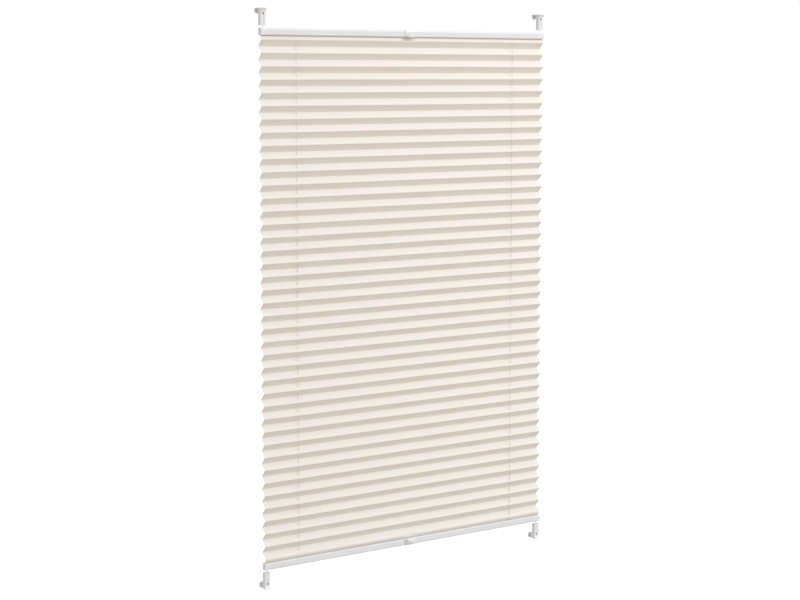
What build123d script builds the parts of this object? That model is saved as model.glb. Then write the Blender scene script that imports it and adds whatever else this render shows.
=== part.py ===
from build123d import *
import math
import os

os.makedirs("parts", exist_ok=True)

# A pleated window blind held between two rails that run on tensioned cords, clamped to a window sash.
# X runs across the window, -Y points into the room and +Z is up. The room face of the sash is Y = 0
# and the top edge of the sash is Z = 0. The lower half of the blind is the upper half turned over.

# Pleated fabric
fabric_width = 808.8
fabric_thickness = 0.3
pleat_face = 20.0
pleat_depth = 13.4
front_folds = 41
end_drop = 9.8
fold_setback = 2.0
tongue_length = 3.9
eyelet_clearance = 0.6

# Rails: a hollow section with a cord chamber, a web and a slotted channel for the fabric
rail_height = 16.0
rail_depth = 13.0
rail_wall = 1.2
web_thickness = 1.2
channel_height = 3.6
slot_width = 4.0
outer_round = 4.0
inner_round = 2.5
back_round = 1.0
rail_overhang = 1.6
rail_back_gap = 0.5

# End caps, fabric strips and cord guides inside the rails
cap_length = 19.0
cap_edge_round = 0.8
plug_length = 10.0
fit_clearance = 0.15
strip_height = 3.2
strip_end_gap = 1.0
strip_seat_gap = 0.1
strip_groove_width = 1.2
guide_length = 13.0
guide_spout_wall = 0.9

# Tension cords
cord_diameter = 1.0
cord_clearance = 0.3
cord_spacing = 2.0
cord_bend = 3.2
cord_inset = 94.0
knot_diameter = 3.0
knot_gap = 0.1

# Clamp brackets
bracket_width = 14.4
bracket_length = 38.5
bracket_inset = 0.6
bracket_gap = 6.0
plate_thickness = 2.8
flange_thickness = 2.0
hook_gap = 14.0
leg_thickness = 2.5
leg_height = 12.0
leg_round = 6.0
leg_round_share = 0.45
hook_round = 2.2
runner_width = 7.0
runner_neck_width = 4.4
runner_end_gap = 1.0

# Tension shoes, which hang on the brackets' runners
shoe_wall = 1.2
shoe_back_wall = 0.4
shoe_edge_round = 1.2
window_width = 4.4
window_height = 5.0
window_from_end = 12.0
thumb_reach = 4.0
thumb_tip = 1.4
thumb_slope = 6.5
front_groove_width = 3.6
front_groove_depth = 0.7

# Clamp screws and their pressure pads
screw_diameter = 5.0
screw_clearance = 0.1
screw_length = 9.7
screw_drop = 5.0
clamp_travel = 4.5
tip_diameter = 3.0
tip_length = 1.2
tip_clearance = 0.08
socket_across = 2.5
socket_depth = 2.5
pad_diameter = 8.8
pad_thickness = 2.2
pad_rest_gap = 0.4
pad_rim = 1.2
pad_recess = 0.5

# Pull handles
handle_width = 28.0
handle_skin = 1.0
handle_wrap = 3.4
visor_side_step = 0.6
visor_front_width = 24.0
visor_reach = 9.5
visor_height = 7.5
visor_wall = 1.3
visor_corner = 4.5
visor_edge = 3.4
visor_cheek_height = 2.6

# Places worked out from the sizes above
half_pitch = math.sqrt(pleat_face**2 - pleat_depth**2)
fabric_height = 2 * (front_folds - 1) * half_pitch + 2 * end_drop
rail_top = flange_thickness - bracket_length - bracket_gap
rail_inner = rail_top - rail_height
mid_z = rail_inner - fabric_height / 2
rail_mid_z = rail_top - rail_height / 2
rail_y = -rail_back_gap - rail_depth / 2
rail_front = rail_y - rail_depth / 2
half_rail = fabric_width / 2 + rail_overhang
half_profile = half_rail - cap_length
front_fold_y = rail_front + fold_setback
rear_fold_y = front_fold_y + pleat_depth
chamber_top = rail_top - rail_wall
chamber_floor = rail_inner + rail_wall + channel_height + web_thickness
chamber_height = chamber_top - chamber_floor
channel_floor = rail_inner + rail_wall
strip_width = rail_depth - 2 * max(inner_round, rail_wall + fit_clearance)
cord_run_z = (chamber_top + chamber_floor) / 2
tunnel_radius = cord_diameter / 2 + cord_clearance
hole_x = fabric_width / 2 - cord_inset
bracket_x = half_rail - bracket_inset - bracket_width / 2
bracket_near = flange_thickness - bracket_length
shoe_front = rail_y - cord_spacing / 2 - tunnel_radius - shoe_wall
shoe_rear = -plate_thickness - fit_clearance
runner_face = rail_y + cord_spacing / 2 + tunnel_radius + shoe_back_wall + fit_clearance
runner_neck_face = (runner_face - plate_thickness) / 2
window_mid = flange_thickness - window_from_end
window_floor = window_mid - window_height / 2
runner_far = window_floor - shoe_wall - fit_clearance
knot_z = window_floor + knot_diameter / 2 + knot_gap
leg_back = hook_gap + leg_thickness
visor_base = rail_inner - handle_skin - fit_clearance
visor_root = rail_front + inner_round
hollow_root = rail_front - fit_clearance - handle_skin / 2
visor_front = rail_front - visor_reach
visor_root_width = handle_width - 2 * visor_side_step
pad_face_y = hook_gap - pad_rest_gap - pad_thickness
screw_bore_radius = screw_diameter / 2 + screw_clearance
mid_plane = Plane.XY.offset(mid_z)
sides = {"left": -1, "right": 1}


def cord_y(side):
    """The front cord hangs on the left brackets and the rear cord on the right ones."""
    return rail_y + side * cord_spacing / 2


def save(piece, name):
    piece.part.label = name
    export_step(piece.part, f"parts/{name}.step")


def save_pair(upper, name):
    """Writes a piece of the upper half and its twin, turned over, of the lower half."""
    with BuildPart() as lower:
        mirror(upper.part, about=mid_plane)
    save(upper, name.format("top"))
    save(lower, name.format("bottom"))


# The rails' outline, seen from the end with the room on the left and the outer face on top
with BuildSketch() as rail_outline:
    Rectangle(rail_depth, rail_height)
    fillet(rail_outline.vertices().group_by(Axis.X)[-1], radius=back_round)
    fillet(rail_outline.vertices().group_by(Axis.X)[0].sort_by(Axis.Y)[-1], radius=outer_round)
    fillet(rail_outline.vertices().group_by(Axis.X)[0].sort_by(Axis.Y)[0], radius=inner_round)


def chamber_section(clearance):
    """The opening that the cords run in, shrunk by a clearance."""
    with BuildSketch() as section:
        add(rail_outline.sketch)
        offset(amount=-rail_wall - clearance, mode=Mode.REPLACE)
        with Locations((0, cord_run_z - rail_mid_z)):
            Rectangle(rail_depth, chamber_height - 2 * clearance, mode=Mode.INTERSECT)
    return section.sketch


def cord_route(side):
    """From an upper shoe across the rail, down through the pleats and back, so the rails stay level."""
    y = cord_y(side)
    lower_run_z = 2 * mid_z - cord_run_z
    lower_knot_z = 2 * mid_z - knot_z
    with BuildLine() as route:
        FilletPolyline(
            (side * bracket_x, y, knot_z),
            (side * bracket_x, y, cord_run_z),
            (-side * hole_x, y, cord_run_z),
            (-side * hole_x, y, lower_run_z),
            (side * bracket_x, y, lower_run_z),
            (side * bracket_x, y, lower_knot_z),
            radius=cord_bend,
        )
    return route.wires()[0]


def tube_along(route, radius):
    with BuildPart() as tube:
        with BuildSketch(Plane(origin=route @ 0, z_dir=route % 0)):
            Circle(radius)
        sweep(path=route)
    return tube.part


routes = {side: cord_route(side) for side in sides.values()}
tunnels = {side: tube_along(route, tunnel_radius) for side, route in routes.items()}

# Rails
with BuildPart() as top_rail:
    with BuildSketch(Plane.YZ) as rail_section:
        with Locations((rail_y, rail_mid_z)):
            add(rail_outline.sketch)
        offset(amount=-rail_wall, mode=Mode.SUBTRACT)
        with Locations((rail_y, chamber_floor - web_thickness / 2)):
            Rectangle(rail_depth - rail_wall, web_thickness)
        with Locations((rail_y, rail_inner)):
            Rectangle(slot_width, 3 * rail_wall, mode=Mode.SUBTRACT)
    extrude(amount=half_profile, both=True)
    for side in sides.values():
        with Locations((side * hole_x, cord_y(-side), chamber_floor)):
            Cylinder(
                tunnel_radius + guide_spout_wall + fit_clearance,
                3 * web_thickness,
                mode=Mode.SUBTRACT,
            )
save_pair(top_rail, "{}_rail")

# End caps, which carry the cords round from the shoes into the rails
for label, side in sides.items():
    with BuildPart() as rail_cap:
        with BuildSketch(Plane.YZ.offset(side * half_rail)):
            with Locations((rail_y, rail_mid_z)):
                add(rail_outline.sketch)
        extrude(amount=-side * cap_length)
        end_face = rail_cap.faces().filter_by(Axis.X).sort_by(Axis.X)[-1 if side > 0 else 0]
        fillet(end_face.edges(), radius=cap_edge_round)
        with BuildSketch(Plane.YZ.offset(side * half_profile)):
            with Locations((rail_y, rail_mid_z)):
                add(chamber_section(fit_clearance))
        extrude(amount=-side * plug_length)
        slot_length = cap_length - rail_overhang + 2 * fit_clearance
        with Locations((side * (half_profile + slot_length / 2), rail_y, rail_inner)):
            Box(slot_length, slot_width, 2 * (rail_wall + channel_height), mode=Mode.SUBTRACT)
        add(tunnels[side], mode=Mode.SUBTRACT)
    save_pair(rail_cap, "rail_cap_{}_" + label)

# Cord guides, which sit over the pleats' holes: one cord turns down in each and the other runs past
for label, side in sides.items():
    with BuildPart() as cord_guide:
        with BuildSketch(Plane.YZ.offset(side * hole_x - guide_length / 2)):
            with Locations((rail_y, rail_mid_z)):
                add(chamber_section(fit_clearance))
        extrude(amount=guide_length)
        with Locations((side * hole_x, cord_y(-side), chamber_floor - web_thickness)):
            Cylinder(
                tunnel_radius + guide_spout_wall,
                2 * web_thickness,
                align=(Align.CENTER, Align.CENTER, Align.MIN),
            )
        for tunnel in tunnels.values():
            add(tunnel, mode=Mode.SUBTRACT)
    save_pair(cord_guide, "cord_guide_{}_" + label)

# Strips that hold the fabric's ends in the rails' channels
with BuildPart() as fabric_strip:
    strip_length = 2 * (half_profile - strip_end_gap)
    strip_base = channel_floor + strip_seat_gap
    with Locations((0, rail_y, strip_base)):
        Box(strip_length, strip_width, strip_height, align=(Align.CENTER, Align.CENTER, Align.MIN))
        Box(
            strip_length,
            strip_groove_width,
            2 * (rail_inner + tongue_length + fit_clearance - strip_base),
            mode=Mode.SUBTRACT,
        )
    for side in sides.values():
        with Locations((side * hole_x, cord_y(-side), strip_base)):
            Cylinder(tunnel_radius + cord_clearance, 3 * strip_height, mode=Mode.SUBTRACT)
save_pair(fabric_strip, "fabric_strip_{}")


def fold_line(shift):
    """The fabric from its upper tongue, fold by fold, to its lower tongue, moved along Y by shift."""
    entry_z = 2 * mid_z - rail_inner
    points = [(rail_y + shift, rail_inner + tongue_length), (rail_y + shift, rail_inner)]
    for fold in range(2 * front_folds - 1):
        fold_y = rear_fold_y if fold % 2 else front_fold_y
        points.append((fold_y + shift, rail_inner - end_drop - fold * half_pitch))
    points += [(rail_y + shift, entry_z), (rail_y + shift, entry_z - tongue_length)]
    return points


# Pleated fabric, one folded sheet with a hole in every face for each cord
with BuildPart() as pleated_fabric:
    skin = fabric_thickness * pleat_face / half_pitch / 2
    with BuildSketch(Plane.YZ):
        with BuildLine():
            Polyline(*fold_line(-skin), *reversed(fold_line(skin)), close=True)
        make_face()
    extrude(amount=fabric_width / 2, both=True)
    for side in sides.values():
        with Locations((side * hole_x, cord_y(-side), mid_z)):
            Cylinder(
                cord_diameter / 2 + eyelet_clearance,
                fabric_height + 4 * tongue_length,
                mode=Mode.SUBTRACT,
            )
save(pleated_fabric, "pleated_fabric")

# Tension cords, each knotted in the two shoes of its side
for label, side in sides.items():
    route = routes[side]
    with BuildPart() as tension_cord:
        add(tube_along(route, cord_diameter / 2))
        with Locations(route @ 0, route @ 1):
            Sphere(knot_diameter / 2)
    save(tension_cord, "tension_cord_" + label)

# Clamp brackets: a plate on the sash, a flange over its edge and a leg behind it
for label, side in sides.items():
    x = side * bracket_x
    with BuildPart() as bracket:
        with BuildSketch(Plane.YZ.offset(x)):
            with BuildLine():
                Polyline(
                    (-plate_thickness, bracket_near),
                    (-plate_thickness, flange_thickness),
                    (leg_back, flange_thickness),
                    (leg_back, flange_thickness - leg_height),
                    (hook_gap, flange_thickness - leg_height),
                    (hook_gap, 0),
                    (0, 0),
                    (0, bracket_near),
                    close=True,
                )
            make_face()
        extrude(amount=bracket_width / 2, both=True)
        leg_end = bracket.edges().filter_by(Axis.Y).group_by(Axis.Y)[-1].group_by(Axis.Z)[0]
        fillet(leg_end, radius=min(leg_round, leg_round_share * bracket_width))
        hook_corner = bracket.edges().filter_by(Axis.X).group_by(Axis.Z)[-1].sort_by(Axis.Y)[-1]
        fillet(hook_corner, radius=hook_round)
        runner_z = bracket_near + runner_end_gap
        with BuildSketch(Plane.XY.offset(runner_z)):
            with Locations((x, (runner_neck_face - plate_thickness) / 2)):
                Rectangle(runner_neck_width, -plate_thickness - runner_neck_face)
            with Locations((x, (runner_neck_face + runner_face) / 2)):
                Rectangle(runner_width, runner_neck_face - runner_face)
        extrude(amount=runner_far - runner_z)
        with Locations(Location((x, (hook_gap + leg_back) / 2, -screw_drop), (90, 0, 0))):
            Cylinder(screw_bore_radius, 3 * leg_thickness, mode=Mode.SUBTRACT)
    save_pair(bracket, "bracket_{}_" + label)

# Tension shoes: the cord is knotted in the window, and the thumb tab lifts the shoe off its runner
for label, side in sides.items():
    x = side * bracket_x
    with BuildPart() as shoe:
        with BuildSketch(Plane.XY.offset(bracket_near)):
            with Locations((x, (shoe_front + shoe_rear) / 2)):
                Rectangle(bracket_width, shoe_rear - shoe_front)
        extrude(amount=bracket_length)
        with BuildSketch(Plane.YZ.offset(x)):
            with BuildLine():
                Polyline(
                    (shoe_front, flange_thickness),
                    (shoe_front - thumb_reach, flange_thickness),
                    (shoe_front - thumb_reach, flange_thickness - thumb_tip),
                    (shoe_front, flange_thickness - thumb_slope),
                    close=True,
                )
            make_face()
        extrude(amount=bracket_width / 2, both=True)
        front_edges = shoe.edges().filter_by(Axis.Z).sort_by(Axis.Y)[:4]
        fillet(front_edges, radius=shoe_edge_round)
        with BuildSketch(Plane.XY.offset(bracket_near)):
            neck_gap = runner_neck_face - fit_clearance
            with Locations((x, neck_gap / 2)):
                Rectangle(runner_neck_width + 2 * fit_clearance, -neck_gap)
            head_depth = runner_neck_face - runner_face + 2 * fit_clearance
            with Locations((x, (runner_neck_face + runner_face) / 2)):
                Rectangle(runner_width + 2 * fit_clearance, head_depth)
        extrude(amount=runner_far + fit_clearance - bracket_near, mode=Mode.SUBTRACT)
        groove_length = window_floor - bracket_near
        with Locations((x, shoe_front, bracket_near + groove_length / 2)):
            Box(front_groove_width, 2 * front_groove_depth, groove_length, mode=Mode.SUBTRACT)
        pocket_back = cord_y(side) + knot_diameter / 2 + knot_gap
        window_depth = pocket_back - shoe_front
        with Locations((x, shoe_front + window_depth / 2 - thumb_reach / 2, window_mid)):
            Box(window_width, window_depth + thumb_reach, window_height, mode=Mode.SUBTRACT)
        add(tunnels[side], mode=Mode.SUBTRACT)
    save_pair(shoe, "tension_shoe_{}_" + label)

# Clamp screws and pads, drawn back as far as they go
for label, side in sides.items():
    screw_axis = Location((side * bracket_x, pad_face_y + pad_thickness, -screw_drop), (-90, 0, 0))
    with BuildPart() as clamp_screw:
        with Locations(screw_axis):
            Cylinder(screw_diameter / 2, screw_length, align=(Align.CENTER, Align.CENTER, Align.MIN))
            with Locations((0, 0, -tip_length)):
                Cylinder(tip_diameter / 2, tip_length, align=(Align.CENTER, Align.CENTER, Align.MIN))
        chamfer(clamp_screw.edges().filter_by(GeomType.CIRCLE).group_by(Axis.Y)[-1], length=0.5)
        with BuildSketch(Plane.XZ.offset(-(pad_face_y + pad_thickness + screw_length))):
            with Locations((side * bracket_x, -screw_drop)):
                RegularPolygon(socket_across / 2, 6, major_radius=False)
        extrude(amount=socket_depth, mode=Mode.SUBTRACT)
    save_pair(clamp_screw, "clamp_screw_{}_" + label)

    with BuildPart() as clamp_pad:
        with Locations(screw_axis):
            with Locations((0, 0, -pad_thickness)):
                Cylinder(pad_diameter / 2, pad_thickness, align=(Align.CENTER, Align.CENTER, Align.MIN))
                Cylinder(pad_diameter / 2 - pad_rim, 2 * pad_recess, mode=Mode.SUBTRACT)
            Cylinder(
                tip_diameter / 2 + tip_clearance,
                2 * (tip_length + tip_clearance),
                mode=Mode.SUBTRACT,
            )
    save_pair(clamp_pad, "clamp_pad_{}_" + label)



def visor_plan(root, inset):
    """The visor seen from below, narrowing towards the room."""
    with BuildSketch() as plan:
        with BuildLine():
            Polyline(
                (-visor_root_width / 2 + inset, root),
                (-visor_front_width / 2 + inset, visor_front + inset),
                (visor_front_width / 2 - inset, visor_front + inset),
                (visor_root_width / 2 - inset, root),
                close=True,
            )
        make_face()
        fillet(plan.vertices().group_by(Axis.Y)[0], radius=visor_corner - inset)
    return plan.sketch


# Pull handles: a clip over the rail's front with a drooping, hollow visor to pull on
with BuildPart() as visor_hollow:
    with BuildSketch(Plane.XY.offset(visor_base + visor_wall)):
        add(visor_plan(hollow_root, visor_wall))
    extrude(amount=visor_height)
    hollow_rim = visor_hollow.faces().sort_by(Axis.Z)[0].edges().sort_by(Axis.Y)[:-1]
    fillet(hollow_rim, radius=visor_edge - visor_wall)

with BuildPart() as visor:
    with BuildSketch(Plane.XY.offset(visor_base)):
        add(visor_plan(visor_root, 0))
    extrude(amount=visor_height)
    visor_rim = visor.faces().sort_by(Axis.Z)[0].edges().sort_by(Axis.Y)[:-1]
    fillet(visor_rim, radius=visor_edge)
    add(visor_hollow.part, mode=Mode.SUBTRACT)
    with BuildSketch(Plane.YZ):
        with BuildLine():
            Polyline(
                (visor_front, visor_base + visor_height),
                (rail_front, visor_base + visor_height),
                (rail_front, visor_base + visor_cheek_height),
                close=True,
            )
        make_face()
    extrude(amount=handle_width, both=True, mode=Mode.SUBTRACT)

with BuildPart() as handle:
    with BuildSketch(Plane.YZ):
        with Locations((rail_y, rail_mid_z)):
            add(rail_outline.sketch)
        offset(amount=handle_skin + fit_clearance, mode=Mode.REPLACE)
        with Locations((rail_front + handle_wrap + rail_depth, rail_mid_z)):
            Rectangle(2 * rail_depth, 2 * rail_height, mode=Mode.SUBTRACT)
    extrude(amount=handle_width / 2, both=True)
    add(visor.part)
    with BuildSketch(Plane.YZ):
        with Locations((rail_y, rail_mid_z)):
            add(rail_outline.sketch)
        offset(amount=fit_clearance, mode=Mode.REPLACE)
    extrude(amount=handle_width, both=True, mode=Mode.SUBTRACT)
save_pair(handle, "handle_{}")
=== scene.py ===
import math

import bpy
from mathutils import Matrix, Vector


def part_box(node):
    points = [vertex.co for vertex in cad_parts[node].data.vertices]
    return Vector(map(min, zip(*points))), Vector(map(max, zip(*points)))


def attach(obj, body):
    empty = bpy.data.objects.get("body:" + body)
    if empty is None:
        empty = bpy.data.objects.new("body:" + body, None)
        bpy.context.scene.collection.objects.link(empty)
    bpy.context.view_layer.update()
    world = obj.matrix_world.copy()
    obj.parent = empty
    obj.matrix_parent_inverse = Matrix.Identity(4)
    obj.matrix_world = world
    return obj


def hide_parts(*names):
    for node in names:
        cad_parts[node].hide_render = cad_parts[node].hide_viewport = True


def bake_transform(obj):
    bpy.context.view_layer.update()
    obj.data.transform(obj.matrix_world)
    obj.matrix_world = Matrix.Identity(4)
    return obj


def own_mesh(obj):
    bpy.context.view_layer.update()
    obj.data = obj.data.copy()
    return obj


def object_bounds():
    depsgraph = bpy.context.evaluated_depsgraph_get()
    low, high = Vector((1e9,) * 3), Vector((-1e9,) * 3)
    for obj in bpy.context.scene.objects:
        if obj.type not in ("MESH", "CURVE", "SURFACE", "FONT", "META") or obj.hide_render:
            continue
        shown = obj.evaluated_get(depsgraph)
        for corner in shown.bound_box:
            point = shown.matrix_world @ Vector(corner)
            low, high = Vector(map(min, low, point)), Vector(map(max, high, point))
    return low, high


bl_info = {
    "name": "Pleated window blind",
    "version": (1, 0, 0),
    "blender": (4, 5, 0),
    "location": "3D View > Sidebar > Blind",
    "description": "Builds the fabric, cords, screws and finishes of a pleated blind around its CAD frame",
    "category": "Object",
}

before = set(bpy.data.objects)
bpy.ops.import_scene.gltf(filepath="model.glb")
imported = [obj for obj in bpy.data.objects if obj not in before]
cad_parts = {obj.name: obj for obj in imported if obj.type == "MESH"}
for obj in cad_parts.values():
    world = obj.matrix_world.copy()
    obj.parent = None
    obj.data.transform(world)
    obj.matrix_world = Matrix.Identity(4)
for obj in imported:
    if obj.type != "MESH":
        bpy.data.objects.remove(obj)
cad_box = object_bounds()

MM = 0.001
SIDES = {"left": -1, "right": 1}
HALVES = {"top": 1, "bottom": -1}
CORNERS = [(half, side) for half in HALVES for side in SIDES]
CLOTH_MAP = "cloth"  # the UV map that holds true lengths along a cloth or cord, in metres
BAND_PERIOD = 0.1 * math.pi  # a band texture at scale 1 repeats every 0.314 of its coordinate
MIX_FACTOR, MIX_A, MIX_B, MIX_COLOUR = 0, 6, 7, 2  # the Mix node's sockets for colours, which share names
BLEND_FACTOR, BLEND_A, BLEND_B = 0, 2, 3  # and its sockets for plain numbers
SHARP_ANGLE = math.radians(40)  # edges that turn by more than this stay crisp
WHITE = (1, 1, 1)

# The fabric's grid. A backward face runs back from a front fold, and a forward face comes to one.
CREASE_REACH = 2.3  # where the bend beside a fold ends, in crease widths
END_ROWS = (0.58, 0.7)  # extra grid rows of the strip beside a rail, as shares of its length
BACKWARD_EYELET, FORWARD_EYELET, END_EYELET = 4, 5, 2  # which grid row holds the eyelets
CLEAR_OF_EYELET = 1.5  # no even grid column lies nearer to an eyelet than this many borders
EYELET_RING = ((0, 1), (1, 1), (1, 0), (1, -1), (0, -1), (-1, -1), (-1, 0), (-1, 1))  # steps round it

# The fabric's unevenness.
GOLDEN = 0.618034  # spreads the folds' waves evenly, so that no two neighbours are alike
FOLD_WAVES = ((0.6, 9.1, 1.0), (0.4, 21.7, -2.3))  # each one's share, radians per metre, and turns of phase
BOW_SHARE = 0.6  # the steady share of a face's bow, the rest of which comes and goes in a wave
BOW_WAVE, BOW_PHASE = 7.3, 1.7  # radians of that wave per metre, and from one face to the next
HANG_START, HANG_CURVE = 0.3, 2.5  # where the lowest strip starts to hang forward, and how suddenly

# The cords and screws.
ROUTE_STEPS = 6  # points that a cord's smooth line has for each of its control points
MOSTLY_ALONG = 0.9  # a direction with more than this share of an axis can't take its side from it
KNOT_POINTS = 48
KNOT_LOBES = 3  # lobes of the knot, and how far they reach from its middle in units of its size
KNOT_LIFT = 1.8  # how far the cord rises where it passes over itself, in the same units
THREAD_SLOPE, THREAD_ROOT = 1.6, 0.25  # steepness of the thread's flanks, and the width of its root
SOCKET_POINT = 1.15  # the drilled floor of the socket comes to a point this much deeper


# ---------------------------------------------------------------- colours, nodes and meshes


def to_linear(code):
    """The linear colour of an sRGB hex value such as #f0eeea."""
    channels = (int(code[i : i + 2], 16) / 255 for i in (1, 3, 5))
    return tuple(c / 12.92 if c <= 0.04045 else ((c + 0.055) / 1.055) ** 2.4 for c in channels)


def colour_property(name, description, code):
    return bpy.props.FloatVectorProperty(
        name=name, description=description, default=to_linear(code), subtype="COLOR", min=0, max=1
    )


def length_property(name, description, millimetres):
    return bpy.props.FloatProperty(
        name=name, description=description, default=millimetres * MM, unit="LENGTH", precision=5
    )


def fill(tree, node, inputs):
    """Sets each input to a value, or links it to another node's output."""
    for key, value in inputs.items():
        if isinstance(value, bpy.types.NodeSocket):
            tree.links.new(value, node.inputs[key])
        else:
            node.inputs[key].default_value = value


def add_node(tree, kind, inputs, **settings):
    node = tree.nodes.new(kind)
    for name, value in settings.items():
        setattr(node, name, value)
    fill(tree, node, inputs)
    return node


def start_material(name):
    material = bpy.data.materials.new(name)
    material.use_nodes = True
    return material, material.node_tree, material.node_tree.nodes["Principled BSDF"]


def opaque(colour):
    return (*colour, 1.0)


def grain(size):
    """The scale of a noise texture whose blotches are this many metres across."""
    return 1 / size


def bands(spacing):
    """The scale of a band texture that repeats after this many metres."""
    return BAND_PERIOD / spacing


def mesh_piece(name, points, faces, material, lengths=None):
    """A smooth-shaded mesh object. lengths gives each point's true place along the cloth, as its UV map."""
    mesh = bpy.data.meshes.new(name)
    mesh.from_pydata([tuple(p) for p in points], [], faces)
    mesh.polygons.foreach_set("use_smooth", [True] * len(mesh.polygons))
    mesh.materials.append(material)
    if lengths is not None:
        uv = mesh.uv_layers.new(name=CLOTH_MAP)
        for loop, entry in zip(mesh.loops, uv.data):
            entry.uv = lengths[loop.vertex_index]
    mesh.update()
    piece = bpy.data.objects.new(name, mesh)
    bpy.context.scene.collection.objects.link(piece)
    return piece


def thicken(piece, thickness):
    """Gives a sheet its real thickness, as a closed mesh."""
    solidify = piece.modifiers.new("thickness", "SOLIDIFY")
    solidify.thickness = thickness
    solidify.offset = 0
    graph = bpy.context.evaluated_depsgraph_get()
    solid = bpy.data.meshes.new_from_object(piece.evaluated_get(graph))
    piece.modifiers.clear()
    piece.data = solid
    solid.set_sharp_from_angle(angle=SHARP_ANGLE)


def tube(line, radius, sides, closed=False):
    """Points, faces and true lengths of a tube along a line, with flat ends."""
    line = [Vector(p) for p in line]
    count = len(line)
    if closed:
        neighbours = [(line[i - 1], line[(i + 1) % count]) for i in range(count)]
    else:
        neighbours = list(zip([line[0]] + line[:-1], line[1:] + [line[-1]]))
    first = (line[1] - line[0]).normalized()
    across = Vector((0, 1, 0)) if abs(first.y) < MOSTLY_ALONG else Vector((1, 0, 0))
    points, faces, lengths, travelled = [], [], [], 0.0
    for i, (before, after) in enumerate(neighbours):
        along = (after - before).normalized()
        across = (across - along * across.dot(along)).normalized()
        beside = along.cross(across)
        travelled += (line[i] - line[i - 1]).length if i else 0.0
        for k in range(sides):
            turn = 2 * math.pi * k / sides
            points.append(line[i] + radius * (math.cos(turn) * across + math.sin(turn) * beside))
            lengths.append((turn * radius, travelled))
    for i in range(count if closed else count - 1):
        for k in range(sides):
            here, there = i * sides, (i + 1) % count * sides
            beyond = (k + 1) % sides
            faces.append((here + k, here + beyond, there + beyond, there + k))
    if not closed:
        faces.append(tuple(reversed(range(sides))))
        faces.append(tuple((count - 1) * sides + k for k in range(sides)))
    return points, faces, lengths


def joined(*parts):
    """Several (points, faces, lengths) as one."""
    points, faces, lengths = [], [], []
    for more_points, more_faces, more_lengths in parts:
        base = len(points)
        points += more_points
        faces += [tuple(base + i for i in face) for face in more_faces]
        lengths += more_lengths
    return points, faces, lengths


def spline_line(points):
    """The points of a smooth NURBS spline with these control points."""
    curve = bpy.data.curves.new("route", "CURVE")
    curve.dimensions = "3D"
    curve.resolution_u = ROUTE_STEPS
    spline = curve.splines.new("NURBS")
    spline.points.add(len(points) - 1)
    for control, place in zip(spline.points, points):
        control.co = (*place, 1)
    spline.order_u = 3
    spline.use_endpoint_u = True
    route = bpy.data.objects.new("route", curve)
    mesh = bpy.data.meshes.new_from_object(route)
    line = [v.co.copy() for v in mesh.vertices]
    bpy.data.meshes.remove(mesh)
    bpy.data.curves.remove(curve)
    return line


def middle(node):
    low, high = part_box(node)
    return (low + high) / 2


def cornered(*kinds):
    """The names of these pieces at all four brackets."""
    return [f"{kind}_{half}_{side}" for kind in kinds for half, side in CORNERS]


def dress(nodes, material):
    """Gives CAD nodes a finish."""
    for name in nodes:
        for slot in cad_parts[name].material_slots:
            slot.material = material


# ---------------------------------------------------------------- materials


def heat_set_polyester(fabric):
    """Woven polyester, pleated and heat-set: a matt warm white with fine slubs running across the blind."""
    material, tree, shader = start_material("woven_polyester_heat_set_pleats")
    cloth = add_node(tree, "ShaderNodeUVMap", {}, uv_map=CLOTH_MAP).outputs["UV"]
    # Real threads are about 0.25 mm apart; they are drawn at three times that, so that they show.
    threads = {"Vector": cloth, "Scale": bands(fabric.thread_spacing), "Distortion": 0.6}
    weft = add_node(tree, "ShaderNodeTexWave", threads, bands_direction="Y")
    warp = add_node(tree, "ShaderNodeTexWave", threads, bands_direction="X")
    weave = add_node(
        tree, "ShaderNodeMath", {0: weft.outputs["Fac"], 1: warp.outputs["Fac"]}, operation="MULTIPLY"
    ).outputs[0]
    # A slub is a thicker stretch of one weft thread, many times longer than it is high.
    slimness = fabric.slub_height / fabric.slub_length
    stretched = add_node(
        tree, "ShaderNodeMapping", {"Vector": cloth, "Scale": (slimness, 1, 1)}
    ).outputs[0]
    slubs = add_node(
        tree, "ShaderNodeTexNoise", {"Vector": stretched, "Scale": grain(fabric.slub_height), "Detail": 3.0}
    ).outputs[0]
    tone = add_node(
        tree, "ShaderNodeMix",
        {MIX_FACTOR: slubs, MIX_A: opaque(fabric.thread_colour), MIX_B: opaque(fabric.slub_colour)},
        data_type="RGBA",
    ).outputs[MIX_COLOUR]
    relief = add_node(tree, "ShaderNodeMath", {0: weave, 1: slubs}, operation="ADD").outputs[0]
    bump = add_node(
        tree, "ShaderNodeBump", {"Height": relief, "Strength": 0.35, "Distance": fabric.thread_spacing / 8}
    ).outputs[0]
    fill(tree, shader, {"Base Color": tone, "Normal": bump, "Roughness": 0.85, "IOR": 1.5})
    fill(tree, shader, {"Specular IOR Level": 0.2, "Sheen Weight": 0.08, "Sheen Roughness": 0.5})
    return material


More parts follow.
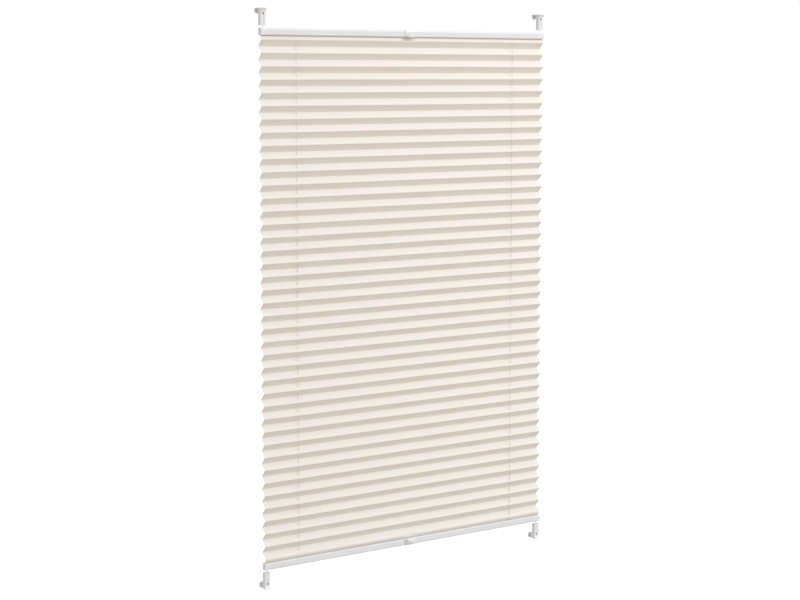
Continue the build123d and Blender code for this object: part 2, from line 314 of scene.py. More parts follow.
def powder_coated_aluminium(hardware):
    """Extruded aluminium under white powder coat: satin, with a faint orange peel over long die lines."""
    material, tree, shader = start_material("powder_coated_aluminium_extrusion")
    place = add_node(tree, "ShaderNodeTexCoord", {}).outputs["Object"]
    peel = add_node(
        tree, "ShaderNodeTexNoise", {"Vector": place, "Scale": grain(hardware.orange_peel), "Detail": 2.0}
    ).outputs[0]
    slimness = hardware.die_line / hardware.die_line_length
    drawn = add_node(
        tree, "ShaderNodeMapping", {"Vector": place, "Scale": (slimness, 1, 1)}
    ).outputs[0]
    lines = add_node(
        tree, "ShaderNodeTexNoise", {"Vector": drawn, "Scale": grain(hardware.die_line), "Detail": 2.0}
    ).outputs[0]
    relief = add_node(tree, "ShaderNodeMath", {0: peel, 1: lines}, operation="ADD").outputs[0]
    bump = add_node(
        tree, "ShaderNodeBump", {"Height": relief, "Strength": 0.12, "Distance": 0.05 * MM}
    ).outputs[0]
    satin = add_node(
        tree, "ShaderNodeMapRange", {"Value": lines, "To Min": 0.34, "To Max": 0.46}
    ).outputs[0]
    fill(tree, shader, {"Base Color": opaque(hardware.powder_colour), "Normal": bump, "Roughness": satin})
    fill(tree, shader, {"IOR": 1.5, "Coat Weight": 0.15, "Coat Roughness": 0.3})
    return material


def moulded_plastic(name, hardware, colour, low_roughness, high_roughness, depth):
    """Injection-moulded plastic from a spark-eroded mould: an even colour broken by a fine, shallow grain."""
    material, tree, shader = start_material(name)
    place = add_node(tree, "ShaderNodeTexCoord", {}).outputs["Object"]
    texture = add_node(
        tree, "ShaderNodeTexNoise", {"Vector": place, "Scale": grain(hardware.mould_grain), "Detail": 4.0}
    ).outputs[0]
    flow = add_node(
        tree, "ShaderNodeTexNoise", {"Vector": place, "Scale": grain(hardware.flow_size), "Detail": 1.0}
    ).outputs[0]
    sheen = add_node(
        tree, "ShaderNodeMapRange", {"Value": flow, "To Min": low_roughness, "To Max": high_roughness}
    ).outputs[0]
    bump = add_node(
        tree, "ShaderNodeBump", {"Height": texture, "Strength": 0.3, "Distance": depth}
    ).outputs[0]
    fill(tree, shader, {"Base Color": opaque(colour), "Roughness": sheen, "Normal": bump, "IOR": 1.53})
    return material


def braided_polyester(cords):
    """Braided polyester cord: two sets of strands that cross at 45 degrees, with painted shade where they
    dip.
    """
    material, tree, shader = start_material("braided_polyester_cord")
    cloth = add_node(tree, "ShaderNodeUVMap", {}, uv_map=CLOTH_MAP).outputs["UV"]
    spacing = math.pi * cords.diameter / cords.strands_each_way / math.sqrt(2)
    crossing = []
    for angle in (-math.pi / 4, math.pi / 4):
        turned = add_node(
            tree, "ShaderNodeMapping", {"Vector": cloth, "Rotation": (0, 0, angle)}
        ).outputs[0]
        wave = add_node(tree, "ShaderNodeTexWave", {"Vector": turned, "Scale": bands(spacing)})
        crossing.append(wave.outputs["Fac"])
    strands = add_node(
        tree, "ShaderNodeMath", {0: crossing[0], 1: crossing[1]}, operation="MAXIMUM"
    ).outputs[0]
    # Painted shade: the braid's dips take a darker colour than the strands, in place of the shade that falls
    # there.
    tone = add_node(
        tree, "ShaderNodeMix",
        {MIX_FACTOR: strands, MIX_A: opaque(cords.painted_dip_shade_colour), MIX_B: opaque(cords.strand_colour)},
        data_type="RGBA",
    ).outputs[MIX_COLOUR]
    bump = add_node(
        tree, "ShaderNodeBump", {"Height": strands, "Strength": 0.5, "Distance": spacing / 4}
    ).outputs[0]
    fill(tree, shader, {"Base Color": tone, "Normal": bump, "Roughness": 0.6})
    fill(tree, shader, {"IOR": 1.5, "Sheen Weight": 0.1})
    return material


def zinc_plated_steel(screws):
    """Zinc-plated steel: a bright bluish metal, clouded by the plating and scuffed by the rolled thread."""
    material, tree, shader = start_material("zinc_plated_rolled_steel")
    place = add_node(tree, "ShaderNodeTexCoord", {}).outputs["Object"]
    clouds = add_node(
        tree, "ShaderNodeTexNoise", {"Vector": place, "Scale": grain(screws.plating_cloud), "Detail": 4.0}
    ).outputs[0]
    blur = add_node(
        tree, "ShaderNodeMapRange", {"Value": clouds, "To Min": 0.24, "To Max": 0.42}
    ).outputs[0]
    bump = add_node(
        tree, "ShaderNodeBump", {"Height": clouds, "Strength": 0.15, "Distance": 0.03 * MM}
    ).outputs[0]
    fill(tree, shader, {"Base Color": opaque(screws.zinc_colour), "Metallic": 1.0})
    fill(tree, shader, {"Roughness": blur, "Normal": bump})
    return material


def seamless_paper(stage):
    """Matt white background paper: slightly uneven, and bright enough to read as plain white."""
    material, tree, shader = start_material("matt_background_paper")
    place = add_node(tree, "ShaderNodeTexCoord", {}).outputs["Object"]
    fibres = add_node(
        tree, "ShaderNodeTexNoise", {"Vector": place, "Scale": grain(stage.paper_fibre), "Detail": 2.0}
    ).outputs[0]
    bump = add_node(
        tree, "ShaderNodeBump", {"Height": fibres, "Strength": 0.05, "Distance": MM}
    ).outputs[0]
    fill(tree, shader, {"Base Color": opaque(stage.paper_colour), "Normal": bump, "Roughness": 0.9})
    fill(tree, shader, {"Emission Color": opaque(stage.paper_colour), "Emission Strength": stage.paper_glow})
    return material


# ---------------------------------------------------------------- sizes and colours


class BlindFabricSettings(bpy.types.PropertyGroup):
    front_folds: bpy.props.IntProperty(
        name="Front folds", description="Folds that point into the room", default=41, min=3
    )
    end_drop: length_property("End drop", "Height from a rail to the nearest front fold", 9.8)
    tongue: length_property("Tongue", "Length of fabric held inside each rail", 3.9)
    thickness: length_property("Thickness", "Thickness of the fabric", 0.3)
    crease: length_property("Crease width", "How far the bend of a fold reaches along each face", 0.7)
    crease_pull: length_property("Crease pull", "How far a fold's edge is rounded back", 0.25)
    bow: length_property("Face bow", "How far a pleat's face bulges from flat", 0.2)
    wander: length_property("Fold wander", "How far a fold strays from its straight line", 0.22)
    clip_dent: length_property("Clip dent", "How far a handle's clip presses the first fold back", 1.9)
    clip_border: length_property("Clip border", "Width over which the dent fades out on each side", 9)
    columns: bpy.props.IntProperty(
        name="Columns", description="Grid columns across the fabric", default=36, min=4
    )
    eyelet: length_property("Eyelet radius", "Radius of the punched holes for the cords", 0.8)
    eyelet_border: length_property("Eyelet border", "Half width of the patch around each hole", 2.5)
    thread_spacing: length_property("Thread spacing", "Spacing of the drawn threads", 0.8)
    slub_length: length_property("Slub length", "Length of a thick stretch of thread", 28)
    slub_height: length_property("Slub height", "Height of a thick stretch of thread", 0.9)
    thread_colour: colour_property("Thread colour", "Colour of the plain weave", "#ece8e1")
    slub_colour: colour_property("Slub colour", "Colour of the thicker threads", "#f1ede7")


class BlindCordSettings(bpy.types.PropertyGroup):
    diameter: length_property("Diameter", "Diameter of the tension cords", 1.0)
    knot_radius: length_property("Knot radius", "Radius of the knots at a cord's ends", 1.5)
    tail: length_property("Tail", "Length of cord that stands out past a knot", 1.2)
    run_depth: length_property("Run depth", "Depth of the cords' run below a rail's outer face", 5.6)
    corner: length_property("Corner", "How far from a corner the cord starts to turn", 3.2)
    sides: bpy.props.IntProperty(name="Sides", description="Faces round a cord", default=14, min=6)
    strands_each_way: bpy.props.IntProperty(
        name="Strands", description="Strands of the braid that wind each way", default=4, min=2
    )
    strand_colour: colour_property("Strand colour", "Colour of the strands", "#dcdad7")
    # Painted shade: the darker colour between the strands stands in for the shade in the braid's dips.
    painted_dip_shade_colour: colour_property("Gap colour", "Colour between the strands", "#b5b2ae")


class BlindHardwareSettings(bpy.types.PropertyGroup):
    powder_colour: colour_property("Powder coat", "Colour of the rails", "#e5e6e8")
    plastic_colour: colour_property("Fittings", "Colour of the brackets, shoes and caps", "#e9eaed")
    handle_colour: colour_property("Handles", "Colour of the pull handles", "#ececec")
    pad_colour: colour_property("Pads", "Colour of the pressure pads", "#d9d9d7")
    orange_peel: length_property("Orange peel", "Width of the powder coat's ripples", 1.4)
    die_line: length_property("Die line", "Width of the extrusion's lines", 0.6)
    die_line_length: length_property("Die line length", "Length of the extrusion's lines", 400)
    mould_grain: length_property("Mould grain", "Grain of the moulds' spark-eroded faces", 0.3)
    flow_size: length_property("Flow marks", "Width of the plastic's cloudy flow marks", 6)


class BlindScrewSettings(bpy.types.PropertyGroup):
    thread_radius: length_property("Thread radius", "Radius over the thread's crests", 2.5)
    pitch: length_property("Pitch", "Advance of the screw in one turn", 0.8)
    thread_depth: length_property("Thread depth", "Depth of the thread", 0.49)
    tip_radius: length_property("Tip radius", "Radius of the tip that turns in the pad", 1.5)
    tip_length: length_property("Tip length", "Length of the tip that turns in the pad", 1.2)
    end_chamfer: length_property("End chamfer", "Chamfer at both ends of the thread", 0.5)
    socket_across: length_property("Socket", "Width across the flats of the hexagon socket", 2.5)
    socket_depth: length_property("Socket depth", "Depth of the hexagon socket", 2.5)
    plating_cloud: length_property("Plating clouds", "Width of the plating's cloudy patches", 1.2)
    sides: bpy.props.IntProperty(name="Sides", description="Faces round a screw", default=36, min=12)
    steps: bpy.props.IntProperty(name="Steps", description="Rings of faces in one pitch", default=10, min=6)
    zinc_colour: colour_property("Zinc", "Colour of the plating", "#c6c9cc")


class BlindStageSettings(bpy.types.PropertyGroup):
    camera_place: bpy.props.FloatVectorProperty(
        name="Camera", description="Where the camera stands", default=(-2.4364, -3.4897, -0.147),
        subtype="TRANSLATION", unit="LENGTH",
    )
    heading: bpy.props.FloatProperty(
        name="Heading", description="How far the camera turns to the right",
        default=math.radians(34.7), subtype="ANGLE",
    )
    tilt: bpy.props.FloatProperty(
        name="Tilt", description="How far the camera looks down", default=math.radians(6.04), subtype="ANGLE"
    )
    lens: bpy.props.FloatProperty(
        name="Lens", description="Focal length in millimetres", default=80.42, unit="CAMERA"
    )
    shift: bpy.props.FloatProperty(
        name="Shift", description="Downward shift of the lens, as a share of the width", default=-0.045
    )
    floor_gap: length_property("Floor gap", "Height of the blind above the floor", 1000)
    floor_size: length_property("Floor size", "Width of the floor", 60000)
    paper_fibre: length_property("Paper fibre", "Width of the paper's unevenness", 4)
    paper_colour: colour_property("Paper", "Colour of the floor", "#fafafa")
    key_place: bpy.props.FloatVectorProperty(
        name="Key light", description="Where the key light stands", default=(2.5, -3.0, 2.33),
        subtype="TRANSLATION", unit="LENGTH",
    )
    key_size: length_property("Key size", "Width of the key light's soft box", 1600)
    key_power: bpy.props.FloatProperty(
        name="Key power", description="Power of the key light in watts", default=78, unit="POWER"
    )
    dome_light: bpy.props.FloatProperty(
        name="Dome light", description="Brightness of the surrounding light", default=0.765
    )
    dome_slope: bpy.props.FloatVectorProperty(
        name="Dome slope", description="How the surrounding light grows along X, Y and Z",
        default=(0.12, -0.04, 0.2),
    )
    upper_colour: colour_property("Light from above", "Colour of the light from above", "#fafcff")
    lower_colour: colour_property("Light from below", "Colour of the light from below", "#fdeedc")
    paper_glow: bpy.props.FloatProperty(
        name="Paper glow", description="Light added to the floor, as by its own lamps", default=0.24
    )


SETTINGS = {
    "blind_fabric": BlindFabricSettings,
    "blind_cords": BlindCordSettings,
    "blind_hardware": BlindHardwareSettings,
    "blind_screws": BlindScrewSettings,
    "blind_stage": BlindStageSettings,
}


# ---------------------------------------------------------------- pieces


def rail_edge(half_name):
    """The height of a rail's face that the fabric comes out of."""
    low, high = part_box(f"{half_name}_rail")
    return low.z if half_name == "top" else high.z


def stray(fold, x, size):
    """A slow, repeatable wave along a fold, different for each fold."""
    phase = 2 * math.pi * GOLDEN * fold
    return size * sum(share * math.sin(rate * x + turns * phase) for share, rate, turns in FOLD_WAVES)


def hang(t):
    """How far the lowest strip hangs forward of a straight line, as a share of its depth."""
    if t <= HANG_START:
        return 0.0
    left = 1 - (t - HANG_START) / (1 - HANG_START)
    return HANG_START + (1 - HANG_START) * (1 - left**HANG_CURVE) - t


def fold_line(fabric, half_name):
    """Half the fabric from the side, as (y, z) corners: its end in the rail, the rail's edge, each fold."""
    half = HALVES[half_name]
    low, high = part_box("pleated_fabric")
    edge_z = rail_edge(half_name)
    rail_y = middle(f"{half_name}_rail").y
    first_z = edge_z - half * fabric.end_drop
    step = (first_z - (low.z + high.z) / 2) / (fabric.front_folds - 1)
    # A fold's outer edge stands out past the middle of the cloth by more than half its thickness.
    tip = fabric.thickness / 2 / math.sin(math.atan2(abs(step), high.y - low.y))
    depths = (low.y + tip, high.y - tip)
    corners = [(rail_y, edge_z + half * fabric.tongue), (rail_y, edge_z)]
    return corners + [(depths[fold % 2], first_z - fold * step) for fold in range(fabric.front_folds)]


def eyelet_places():
    """Where each cord runs through the fabric, left and right: its place across and its depth."""
    return [
        (middle(f"cord_guide_top_{side}").x, middle(f"tension_cord_{other}").y)
        for side, other in (("left", "right"), ("right", "left"))
    ]


def grid_columns(fabric, eyelets, clip_low, clip_high):
    """The grid's places across: even, with closer ones at the eyelets and at the handle's clip."""
    half_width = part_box("pleated_fabric")[1].x
    border = fabric.eyelet_border
    even = [half_width * (2 * i / fabric.columns - 1) for i in range(fabric.columns + 1)]
    columns = [x for x in even if all(abs(x - hole) > CLEAR_OF_EYELET * border for hole, _ in eyelets)]
    columns += [clip_low.x - fabric.clip_border, clip_low.x, clip_high.x, clip_high.x + fabric.clip_border]
    for hole, _ in eyelets:
        columns += [hole - border, hole, hole + border]
    return sorted(columns)


def backward_rows(fabric, length, hole):
    """The grid rows' places along a face that runs back from a front fold, with an eyelet at hole."""
    bend, border = CREASE_REACH * fabric.crease, fabric.eyelet_border
    rows = [0, fabric.crease, bend, hole - border, hole, hole + border]
    last = length - bend
    return rows + [(hole + border + last) / 2, last, length - fabric.crease]


def forward_rows(fabric, length, hole):
    """The same for a face that comes forward: the rows of a backward face, turned round."""
    mirrored = backward_rows(fabric, length, length - hole)[1:]
    return [0] + [length - row for row in reversed(mirrored)]


def end_rows(fabric, length, hole):
    """The same for the strip beside a rail."""
    rows = [hole, hole + fabric.eyelet_border, length - CREASE_REACH * fabric.crease, length - fabric.crease]
    rows += [share * length for share in END_ROWS]
    return [0, max(hole - fabric.eyelet_border, fabric.crease)] + sorted(rows)


def face_rows(fabric, face, length, holes):
    """The grid rows' places along a face at the left and right eyelets, and the row that holds those."""
    if face == 0:
        return [0], [0], None
    if face == 1:
        rows = end_rows(fabric, length, holes[1])
        return rows, rows, END_EYELET
    if face % 2 == 0:
        return *(backward_rows(fabric, length, hole) for hole in holes), BACKWARD_EYELET
    return *(forward_rows(fabric, length, hole) for hole in holes), FORWARD_EYELET


def half_fabric(fabric, half_name):
    """Points, faces and true lengths of the fabric from a rail to the middle fold, and its flat length."""
    half = HALVES[half_name]
    corners = fold_line(fabric, half_name)
    eyelets = eyelet_places()
    (left_x, _), (right_x, _) = eyelets
    clip_low, clip_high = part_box(f"handle_{half_name}")
    clip_limit = corners[2][0] + fabric.clip_dent
    columns = grid_columns(fabric, eyelets, clip_low, clip_high)
    last_face = len(corners) - 2

    def shaped(face, start, end, x, t):
        """A point's depth and height at share t of the way along a face, with the cloth's unevenness."""
        (y0, z0), (y1, z1) = start, end
        y, z = y0 + (y1 - y0) * t, z0 + (z1 - z0) * t
        if face == 0 or (face == 1 and t == 0):
            return y, z
        drift_start = stray(face - 1, x, fabric.wander) if face > 1 else 0.0
        drift_end = stray(face, x, fabric.wander) if face < last_face else 0.0
        z += half * (drift_start * (1 - t) + drift_end * t)
        if face == 1 and half < 0:
            y += hang(t) * (y1 - y0)
        normal = Vector((0, -(z1 - z0), y1 - y0)).normalized() * -half
        swell = BOW_SHARE + (1 - BOW_SHARE) * math.sin(BOW_WAVE * x + BOW_PHASE * face)
        bulge = fabric.bow * math.sin(math.pi * t) * swell
        y += normal.y * bulge
        z += normal.z * bulge
        if face > 1 and t == 0:
            y += fabric.crease_pull * (1 if y0 < y1 else -1)
        # The first fold is pressed back where the handle's clip lies against it.
        if face <= 2 and y < clip_limit:
            inside = min(x - clip_low.x, clip_high.x - x) + fabric.clip_border
            y += (clip_limit - y) * min(1.0, max(0.0, inside / fabric.clip_border))
        return y, z

    points, lengths, grid, punched = [], [], [], []
    travelled = 0.0
    for face, (start, end) in enumerate(zip(corners, corners[1:])):
        run_y, run_z = end[0] - start[0], end[1] - start[1]
        length = math.hypot(run_y, run_z)
        down = Vector((0, run_y, run_z)).normalized()
        holes = [(depth - start[0]) / run_y * length if run_y else None for _, depth in eyelets]
        left_rows, right_rows, eyelet_row = face_rows(fabric, face, length, holes)
        for row, (left, right) in enumerate(zip(left_rows, right_rows)):
            line = []
            for x in columns:
                share = min(1.0, max(0.0, (x - left_x) / (right_x - left_x)))
                along = left + (right - left) * share
                line.append(len(points))
                points.append((x, *shaped(face, start, end, x, along / length)))
                lengths.append((x, travelled + along))
            if row == eyelet_row:
                # The strip beside a rail is crossed by one of the cords alone.
                crossed = eyelets[1:] if face == 1 else eyelets
                punched += [(len(grid), hole, down) for hole, _ in crossed]
            grid.append(line)
        travelled += length
    end_y, end_z = corners[-1]
    pull = fabric.crease_pull * (1 if corners[-2][0] > end_y else -1)
    grid.append([len(points) + i for i in range(len(columns))])
    points += [(x, end_y + pull, end_z) for x in columns]
    lengths += [(x, travelled) for x in columns]

    faces, skipped = [], set()
    for row, hole, down in punched:
        column = columns.index(hole)
        skipped.update((row + step, column + side) for step in (-1, 0) for side in (-1, 0))
        centre = grid[row][column]
        ring = [grid[row + step][column + side] for step, side in EYELET_RING]
        inner = [len(points) + i for i in range(len(ring))]
        for i in range(len(ring)):
            turn = 2 * math.pi * i / len(ring)
            reach_across = fabric.eyelet * math.cos(turn)
            # The hole is round as seen along the cord, so it is longer along the sloping cloth.
            reach_down = fabric.eyelet / abs(down.y) * math.sin(turn)
            place = Vector(points[centre]) + Vector((reach_across, 0, 0)) + down * reach_down
            points.append(tuple(place))
            lengths.append((lengths[centre][0] + reach_across, lengths[centre][1] + reach_down))
            after = (i + 1) % len(ring)
            faces.append((ring[i], ring[after], inner[after], inner[i]))
    for row, (upper, lower) in enumerate(zip(grid, grid[1:])):
        for c in range(len(columns) - 1):
            if (row, c) not in skipped:
                faces.append((upper[c], lower[c], lower[c + 1], upper[c + 1]))
    return *without_loose(points, faces, lengths), travelled


def without_loose(points, faces, lengths):
    """Leaves out the points that no face uses."""
    used = sorted({i for face in faces for i in face})
    place = {old: new for new, old in enumerate(used)}
    return (
        [points[i] for i in used],
        [tuple(place[i] for i in face) for face in faces],
        [lengths[i] for i in used],
    )


class BLIND_OT_fabric(bpy.types.Operator):
    """Builds the pleated fabric as two halves, each running from its own rail to the middle fold"""

    bl_idname = "blind.fabric"
    bl_label = "Build fabric"

    def execute(self, context):
        fabric = context.scene.blind_fabric
        material = heat_set_polyester(fabric)
        for name in HALVES:
            points, faces, lengths, flat_length = half_fabric(fabric, name)
            piece = mesh_piece(f"pleated_fabric_{name}", points, faces, material, lengths)
            thicken(piece, fabric.thickness)
            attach(piece, "frame")
            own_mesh(piece)
            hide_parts("pleated_fabric")
        return {"FINISHED"}


def knot_line(centre, radius, cord_radius):
    """A tight overhand knot as a closed three-lobed line."""
    size = (radius - cord_radius) / KNOT_LOBES
    line = []
    for k in range(KNOT_POINTS):
        t = 2 * math.pi * k / KNOT_POINTS
        lobe = Vector((
            math.sin(t) + 2 * math.sin(2 * t),
            math.cos(t) - 2 * math.cos(2 * t),
            -KNOT_LIFT * math.sin(KNOT_LOBES * t),
        ))
        line.append(centre + size * lobe)
    return line


def hold_pattern(lengths, first, last):
    """Stops a tube's pattern between two points, where a joint pulls the tube longer and would smear it."""
    start, end = lengths[first][1], lengths[last][1]
    return [
        (around, min(0.0, along - start) if along < end else along - end) for around, along in lengths
    ]


def cord_depth(side_name):
    """The depth of a cord's whole route, which lies in one upright plane."""
    return middle(f"tension_cord_{side_name}").y


def fabric_crossing(side_name, half_name):
    """Where across the blind a cord enters the fabric, at the guide on the rail's other side."""
    other = "right" if side_name == "left" else "left"
    return middle(f"cord_guide_{half_name}_{other}").x


def cord_end(cords, material, side_name, half_name):
    """The cord from its knot through the bracket's gap and along the rail to where it enters the fabric."""
    half, side = HALVES[half_name], SIDES[side_name]
    y = cord_depth(side_name)
    # Of each box, the corner that faces away from the fabric, or for the shoe towards it.
    away = 1 if half > 0 else 0
    knot_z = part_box(f"tension_cord_{side_name}")[away].z - half * cords.knot_radius
    outer_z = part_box(f"{half_name}_rail")[away].z
    shoe_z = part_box(f"tension_shoe_{half_name}_{side_name}")[1 - away].z
    run_z = outer_z - half * cords.run_depth
    bracket_x = middle(f"clamp_screw_{half_name}_{side_name}").x
    hole_x = fabric_crossing(side_name, half_name)
    inward, down = -side * 2 * cords.corner, -half * 2 * cords.corner
    line = spline_line([
        (bracket_x, y, knot_z + half * (cords.knot_radius + cords.tail)),
        (bracket_x, y, run_z - down),
        (bracket_x, y, run_z),
        (bracket_x + inward, y, run_z),
        (hole_x - inward, y, run_z),
        (hole_x, y, run_z),
        (hole_x, y, run_z + down),
        (hole_x, y, rail_edge(half_name)),
    ])
    radius, sides = cords.diameter / 2, cords.sides
    points, faces, lengths = tube(line, radius, sides)
    staying = sum(half * (place.z - shoe_z) >= 0 for place in line)
    waiting = sum(half * (place.z - outer_z) > 0 for place in line)
    lengths = hold_pattern(lengths, (staying - 1) * sides, waiting * sides)
    knot = knot_line(Vector((bracket_x, y, knot_z)), cords.knot_radius, radius)
    points, faces, lengths = joined((points, faces, lengths), tube(knot, radius, sides, closed=True))
    piece = mesh_piece(f"tension_cord_{side_name}_{half_name}_end", points, faces, material, lengths)
    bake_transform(piece)
    return piece


def cord_span(cords, material, side_name, half_name):
    """The cord's straight run through half the fabric."""
    x, y = fabric_crossing(side_name, half_name), cord_depth(side_name)
    centre = (x, y, middle("pleated_fabric").z)
    points, faces, lengths = tube([(x, y, rail_edge(half_name)), centre], cords.diameter / 2, cords.sides)
    piece = mesh_piece(f"tension_cord_{side_name}_{half_name}_span", points, faces, material, lengths)
    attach(piece, "frame")
    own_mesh(piece)
    return piece


class BLIND_OT_cords(bpy.types.Operator):
    """Builds both tension cords, with their knots, spans at the brackets, and runs in the rails and fabric"""

    bl_idname = "blind.cords"
    bl_label = "Build tension cords"

    def execute(self, context):
        cords = context.scene.blind_cords
        material = braided_polyester(cords)
        for side_name in SIDES:
            for half_name in HALVES:
                for build in (cord_end, cord_span):
                    piece = build(cords, material, side_name, half_name)
                    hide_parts(f"tension_cord_{side_name}")
        return {"FINISHED"}


class BLIND_OT_rails(bpy.types.Operator):
    """Finishes both rails with their end caps, cord guides and fabric strips"""

    bl_idname = "blind.rails"
    bl_label = "Finish rails"

    def execute(self, context):
        hardware = context.scene.blind_hardware
        dress([f"{half}_rail" for half in HALVES], powder_coated_aluminium(hardware))
        # ABS is hard and even, with a dull gleam where the mould was spark-eroded.
        abs_plastic = moulded_plastic(
            "moulded_abs_rail_fittings", hardware, hardware.plastic_colour,
            low_roughness=0.34, high_roughness=0.46, depth=0.02 * MM,
        )
        dress(cornered("rail_cap", "cord_guide"), abs_plastic)
        dress([f"fabric_strip_{half}" for half in HALVES], abs_plastic)
        return {"FINISHED"}


class BLIND_OT_brackets(bpy.types.Operator):
    """Finishes the clamp brackets, their tension shoes and pressure pads"""

    bl_idname = "blind.brackets"
    bl_label = "Finish brackets"

    def execute(self, context):
        hardware = context.scene.blind_hardware
        # Acetal is stiff and slippery, with a soft waxy gleam.
        acetal = moulded_plastic(
            "moulded_acetal_brackets", hardware, hardware.plastic_colour,
            low_roughness=0.32, high_roughness=0.44, depth=0.02 * MM,
        )
        dress(cornered("bracket", "tension_shoe"), acetal)
        # Thermoplastic rubber is dull and slightly grey.
        rubber = moulded_plastic(
            "moulded_thermoplastic_rubber", hardware, hardware.pad_colour,
            low_roughness=0.6, high_roughness=0.75, depth=0.04 * MM,
        )
        dress(cornered("clamp_pad"), rubber)
        return {"FINISHED"}


class BLIND_OT_handles(bpy.types.Operator):
    """Finishes both pull handles"""

    bl_idname = "blind.handles"
    bl_label = "Finish handles"

    def execute(self, context):
        hardware = context.scene.blind_hardware
        # ABS from a polished mould shows clearer highlights than the textured fittings.
        polished = moulded_plastic(
            "moulded_polished_abs_handles", hardware, hardware.handle_colour,
            low_roughness=0.2, high_roughness=0.28, depth=0.006 * MM,
        )
        dress([f"handle_{half}" for half in HALVES], polished)
        return {"FINISHED"}


def hexagon_radius(turn, across):
    """The distance from a hexagon's centre to its outline in one direction."""
    return across / 2 / math.cos((turn % (math.pi / 3)) - math.pi / 6)


def thread_radius(screws, turn, z, inset):
    """The thread's radius in one direction at height z, which is inset from the nearer end of the thread."""
    phase = (z / screws.pitch - turn / (2 * math.pi)) % 1.0
    rise = min(1.0, max(0.0, THREAD_SLOPE * abs(2 * phase - 1) - THREAD_ROOT))
    limit = screws.thread_radius - max(0.0, screws.end_chamfer - inset)
    return min(limit, screws.thread_radius - screws.thread_depth * (1 - rise))


def screw_mesh(screws, length):
    """Points and faces of a threaded clamp screw that points along +Z, its tip at the origin."""
    turns = [2 * math.pi * k / screws.sides for k in range(screws.sides)]
    points, faces = [], []

    def ring(z, radii):
        points.extend((r * math.cos(turn), r * math.sin(turn), z) for turn, r in zip(turns, radii))

    tip_chamfer = screws.tip_radius / 3
    for z, radius in (
        (0, screws.tip_radius - tip_chamfer),
        (-tip_chamfer, screws.tip_radius),
        (-screws.tip_length, screws.tip_radius),
    ):
        ring(z, [radius] * screws.sides)
    start, stop = -screws.tip_length, -length
    count = round((start - stop) / screws.pitch * screws.steps)
    for i in range(count + 1):
        z = start + (stop - start) * i / count
        inset = min(abs(z - start), abs(z - stop))
        ring(z, [thread_radius(screws, turn, z, inset) for turn in turns])
    socket = [hexagon_radius(turn, screws.socket_across) for turn in turns]
    ring(-length, socket)
    ring(-length + screws.socket_depth, socket)

    last = len(points) - screws.sides
    for base in range(0, last, screws.sides):
        for k in range(screws.sides):
            here, beside = base + k, base + (k + 1) % screws.sides
            faces.append((here, here + screws.sides, beside + screws.sides, beside))
    tip_centre, socket_centre = len(points), len(points) + 1
    points += [(0, 0, 0), (0, 0, -length + SOCKET_POINT * screws.socket_depth)]
    for k in range(screws.sides):
        beside = (k + 1) % screws.sides
        faces.append((tip_centre, k, beside))
        faces.append((socket_centre, last + beside, last + k))
    return points, faces


class BLIND_OT_screws(bpy.types.Operator):
    """Builds the four clamp screws with their thread and hexagon socket"""

    bl_idname = "blind.screws"
    bl_label = "Build clamp screws"

    def execute(self, context):
        screws = context.scene.blind_screws
        material = zinc_plated_steel(screws)
        for half, side in CORNERS:
            node = f"clamp_screw_{half}_{side}"
            low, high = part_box(node)
            centre = (low + high) / 2
            points, faces = screw_mesh(screws, high.y - low.y)
            aim = Matrix.Translation((centre.x, low.y, centre.z)) @ Matrix.Rotation(math.pi / 2, 4, "X")
            points = [aim @ Vector(p) for p in points]
            piece = mesh_piece(f"{node}_threaded", points, faces, material)
            piece.data.set_sharp_from_angle(angle=SHARP_ANGLE)
            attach(piece, f"clamp_screw_set_{half}_{side}")
            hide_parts(node)
        return {"FINISHED"}


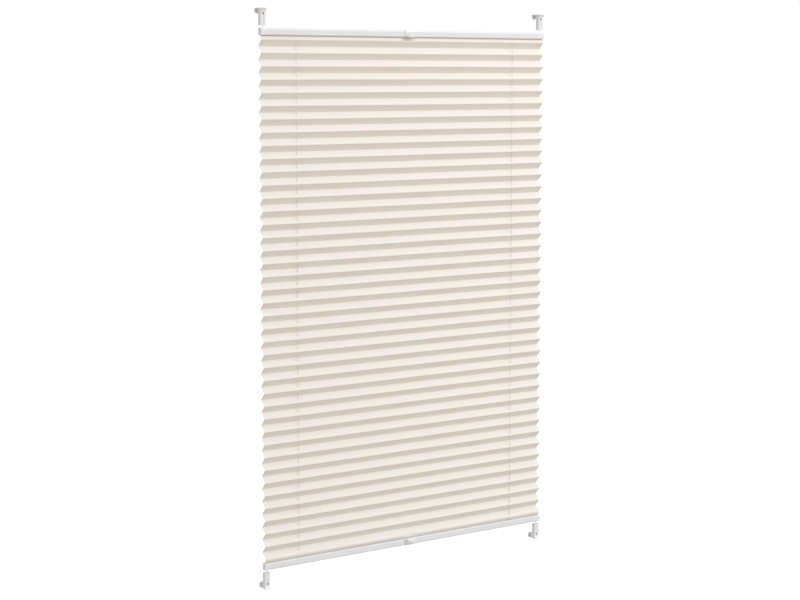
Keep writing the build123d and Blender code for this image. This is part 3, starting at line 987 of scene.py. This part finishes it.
class BLIND_OT_stage(bpy.types.Operator):
    """Sets up the camera, the pale floor and soft studio light"""

    bl_idname = "blind.stage"
    bl_label = "Set up stage"

    def execute(self, context):
        scene, stage = context.scene, context.scene.blind_stage
        scene.view_settings.view_transform = "Standard"

        camera = bpy.data.objects.new("camera", bpy.data.cameras.new("camera"))
        camera.data.lens = stage.lens
        camera.data.shift_y = stage.shift
        camera.location = stage.camera_place
        camera.rotation_euler = (math.pi / 2 - stage.tilt, 0, -stage.heading)
        scene.collection.objects.link(camera)
        scene.camera = camera

        half_floor = stage.floor_size / 2
        floor_z = cad_box[0].z - stage.floor_gap
        signs = ((-1, -1), (1, -1), (1, 1), (-1, 1))
        corners = [(x * half_floor, y * half_floor, floor_z) for x, y in signs]
        floor = mesh_piece("studio_floor", corners, [(0, 1, 2, 3)], seamless_paper(stage))
        floor.visible_diffuse = False

        key = bpy.data.objects.new("key_light", bpy.data.lights.new("key_light", "AREA"))
        key.data.energy = stage.key_power
        key.data.size = stage.key_size
        key.location = stage.key_place
        aim = (cad_box[0] + cad_box[1]) / 2 - key.location
        key.rotation_euler = aim.to_track_quat("-Z", "Y").to_euler()
        scene.collection.objects.link(key)

        scene.world = bpy.data.worlds.new("studio_dome")
        scene.world.use_nodes = True
        tree = scene.world.node_tree
        direction = add_node(tree, "ShaderNodeTexCoord", {}).outputs["Generated"]
        slope = add_node(
            tree, "ShaderNodeVectorMath", {0: direction, 1: stage.dome_slope}, operation="DOT_PRODUCT"
        ).outputs["Value"]
        glow = add_node(tree, "ShaderNodeMath", {0: slope, 1: stage.dome_light}, operation="ADD").outputs[0]
        height = add_node(tree, "ShaderNodeSeparateXYZ", {"Vector": direction}).outputs["Z"]
        above = add_node(
            tree, "ShaderNodeMapRange", {"Value": height, "From Min": -0.5, "From Max": 0.3}
        ).outputs[0]
        tint = add_node(
            tree, "ShaderNodeMix",
            {MIX_FACTOR: above, MIX_A: opaque(stage.lower_colour), MIX_B: opaque(stage.upper_colour)},
            data_type="RGBA",
        ).outputs[MIX_COLOUR]
        # What shows of the dome behind the blind is plain white, whatever light it gives.
        seen = add_node(tree, "ShaderNodeLightPath", {}).outputs["Is Camera Ray"]
        strength = add_node(
            tree, "ShaderNodeMix", {BLEND_FACTOR: seen, BLEND_A: glow, BLEND_B: 1.0}, data_type="FLOAT"
        ).outputs[0]
        colour = add_node(
            tree, "ShaderNodeMix", {MIX_FACTOR: seen, MIX_A: tint, MIX_B: opaque(WHITE)}, data_type="RGBA"
        ).outputs[MIX_COLOUR]
        fill(tree, tree.nodes["Background"], {"Color": colour, "Strength": strength})
        return {"FINISHED"}


class BLIND_PT_panel(bpy.types.Panel):
    bl_idname = "BLIND_PT_panel"
    bl_label = "Pleated window blind"
    bl_space_type = "VIEW_3D"
    bl_region_type = "UI"
    bl_category = "Blind"

    def draw(self, context):
        for operator in OPERATORS:
            self.layout.operator(operator.bl_idname)
        for name, group in SETTINGS.items():
            box = self.layout.box()
            for field in group.__annotations__:
                box.prop(getattr(context.scene, name), field)


OPERATORS = (
    BLIND_OT_stage,
    BLIND_OT_fabric,
    BLIND_OT_cords,
    BLIND_OT_rails,
    BLIND_OT_brackets,
    BLIND_OT_handles,
    BLIND_OT_screws,
)
CLASSES = (*SETTINGS.values(), *OPERATORS, BLIND_PT_panel)


def register():
    for item in CLASSES:
        bpy.utils.register_class(item)
    for name, group in SETTINGS.items():
        setattr(bpy.types.Scene, name, bpy.props.PointerProperty(type=group))


def unregister():
    for name in SETTINGS:
        delattr(bpy.types.Scene, name)
    for item in reversed(CLASSES):
        bpy.utils.unregister_class(item)


def main():
    register()
    bpy.ops.blind.stage()
    bpy.ops.blind.fabric()
    bpy.ops.blind.cords()
    bpy.ops.blind.rails()
    bpy.ops.blind.brackets()
    bpy.ops.blind.handles()
    bpy.ops.blind.screws()


if __name__ == "__main__":
    main()
